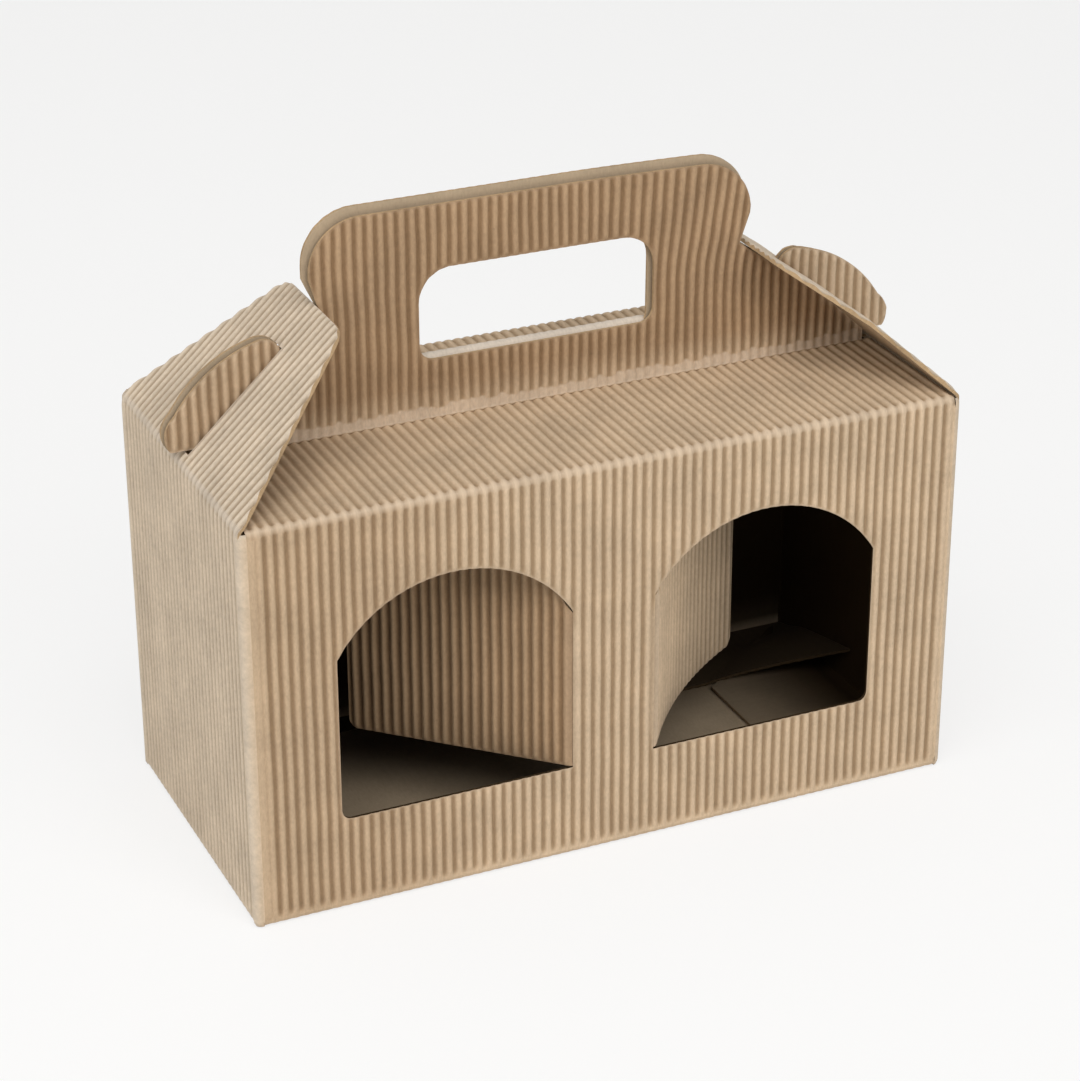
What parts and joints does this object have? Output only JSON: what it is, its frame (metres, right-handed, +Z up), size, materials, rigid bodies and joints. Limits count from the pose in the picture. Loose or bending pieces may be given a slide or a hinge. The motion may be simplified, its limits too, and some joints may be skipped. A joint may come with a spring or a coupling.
{
  "type": "jar carry carton",
  "caption": "Open-flute kraft board carry carton for jars: flat roof, upright handle locked by slitted end flaps, and arched windows whose own board is pushed in as a divider.",
  "frame": {"origin": "middle of the base, on the plane the carton stands on", "axes": "+X along the length, towards the right window; the windows look towards -Y; +Z up, through the handle"},
  "size_m": [0.1901, 0.086, 0.1579],
  "materials": {
    "kraft_board": "matte brown kraft paper, ridged outside and smooth inside"
  },
  "bodies": {
    "carton": {"carton": "kraft_board"},
    "left_end_flap": {"left_end_flap": "kraft_board"},
    "right_end_flap": {"right_end_flap": "kraft_board"},
    "left_window_flap": {"left_window_flap": "kraft_board"},
    "right_window_flap": {"right_window_flap": "kraft_board"}
  },
  "joints": [
    {"name": "left_end_flap_fold", "type": "hinge", "parent": "carton", "child": "left_end_flap", "pos_m": [-0.0914, 0, 0.10253], "axis": [0, -1, 0], "range_deg": [0, 155]},
    {"name": "right_end_flap_fold", "type": "hinge", "parent": "carton", "child": "right_end_flap", "pos_m": [0.0914, 0, 0.10253], "axis": [0, 1, 0], "range_deg": [0, 155]},
    {"name": "left_window_flap_fold", "type": "hinge", "parent": "carton", "child": "left_window_flap", "pos_m": [-0.0107, -0.0419, 0.045], "axis": [0, 0, -1], "range_deg": [-44, 51]},
    {"name": "right_window_flap_fold", "type": "hinge", "parent": "carton", "child": "right_window_flap", "pos_m": [0.0107, -0.0419, 0.045], "axis": [0, 0, 1], "range_deg": [-44, 51]}
  ]
}
